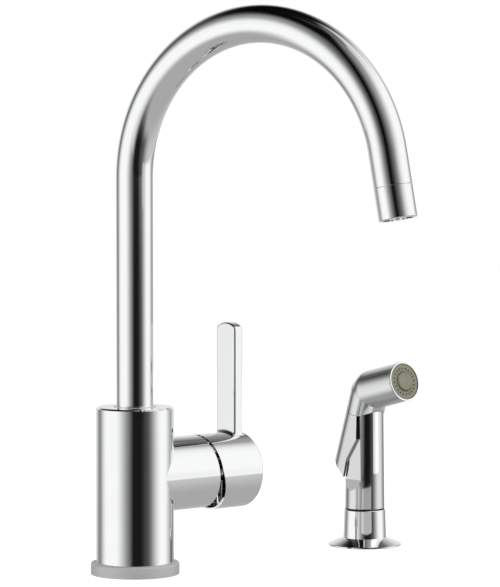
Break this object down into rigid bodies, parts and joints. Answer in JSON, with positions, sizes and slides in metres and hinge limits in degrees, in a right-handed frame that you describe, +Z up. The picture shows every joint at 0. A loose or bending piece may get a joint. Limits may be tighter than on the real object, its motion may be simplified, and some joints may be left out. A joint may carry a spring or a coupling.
{
  "type": "side spray kitchen faucet",
  "caption": "Gooseneck kitchen faucet with a side lever handle, a round base ring and a separate hand spray standing in its own deck holder.",
  "frame": {"origin": "centre of the base ring's underside, on the deck plane and on the axis of the hose passage", "axes": "+Z up, +X along the handle's hub towards the hand spray, -Y towards the user"},
  "size_m": [0.2569, 0.2328, 0.425],
  "materials": {
    "chrome": "polished",
    "chromed_plastic": "chrome plated, polished",
    "brass": "turned",
    "steel": "plain",
    "rubber": "matte",
    "black_plastic": "matte",
    "white_plastic": "matte",
    "grey_plastic": "satin",
    "ceramic": "lapped"
  },
  "bodies": {
    "faucet": {"base_ring": "chrome", "base_gasket": "rubber", "faucet_body": "chrome", "port_block": "brass", "mounting_shank": "brass", "shank_rubber_washer": "rubber", "shank_steel_washer": "steel", "mounting_nut": "brass", "diverter_cage": "white_plastic", "spout_bushing": "white_plastic", "cartridge_base_seal": "rubber", "cartridge_base": "white_plastic", "cartridge_housing": "white_plastic", "fixed_disc": "ceramic", "bonnet_nut": "brass", "bonnet_dome": "black_plastic", "spray_holder": "chrome", "holder_gasket": "rubber", "holder_shank": "black_plastic", "holder_liner": "black_plastic", "holder_rubber_washer": "rubber", "holder_steel_washer": "steel", "holder_nut": "black_plastic"},
    "spout": {"spout_tube": "chrome", "spout_stem": "brass", "spout_o_rings": "rubber", "spout_glide_ring": "white_plastic", "aerator_housing": "chrome", "aerator_insert": "white_plastic", "aerator_screen": "steel", "aerator_washer": "rubber"},
    "diverter": {"diverter_piston": "white_plastic"},
    "temperature_rotor": {"temperature_carrier": "white_plastic", "stem_pin": "steel"},
    "disc": {"moving_disc": "ceramic", "disc_driver": "white_plastic"},
    "handle": {"valve_stem": "brass", "handle": "chrome", "handle_set_screw": "steel", "set_screw_plug": "black_plastic"},
    "hand_spray": {"sprayer_shell": "chromed_plastic", "sprayer_core": "white_plastic", "hose_socket": "black_plastic", "spray_face": "grey_plastic", "spray_face_ring": "chromed_plastic", "thumb_pins": "steel", "thumb_spring": "steel"},
    "thumb_lever": {"thumb_lever": "chromed_plastic"},
    "spray_valve": {"valve_plunger": "white_plastic"}
  },
  "joints": [
    {"name": "spout_swivel", "type": "hinge", "parent": "faucet", "child": "spout", "pos_m": [0, 0, 0.1], "axis": [0, 0, 1], "continuous": true},
    {"name": "diverter_lift", "type": "slide", "parent": "faucet", "child": "diverter", "axis": [0, 0, 1], "range_m": [0, 0.0024]},
    {"name": "temperature_turn", "type": "hinge", "parent": "faucet", "child": "temperature_rotor", "pos_m": [0.046, 0, 0.0622], "axis": [1, 0, 0], "range_deg": [-40, 40]},
    {"name": "handle_lift", "type": "hinge", "parent": "temperature_rotor", "child": "handle", "pos_m": [0.046, 0, 0.0622], "axis": [0, 1, 0], "range_deg": [0, 20]},
    {"name": "disc_slide", "type": "slide", "parent": "temperature_rotor", "child": "disc", "axis": [0, 0, 1], "range_m": [0, 0.0036]},
    {"name": "sprayer_lift", "type": "slide", "parent": "faucet", "child": "hand_spray", "axis": [0, 0, 1], "range_m": [0, 0.12]},
    {"name": "thumb_press", "type": "hinge", "parent": "hand_spray", "child": "thumb_lever", "pos_m": [0.2032, -0.0045, 0.1053], "axis": [-1, 0, 0], "range_deg": [0, 6], "stiffness_Nm_per_rad": 1, "springref_deg": -5.73, "deforming": ["thumb_spring"]},
    {"name": "plunger_slide", "type": "slide", "parent": "hand_spray", "child": "spray_valve", "axis": [0, -1, 0], "range_m": [0, 0.0036]}
  ],
  "couplings": [
    {"joint": "disc_slide", "follows": "handle_lift", "m_per_rad": 0.01},
    {"joint": "plunger_slide", "follows": "thumb_press", "m_per_rad": 0.0335}
  ]
}
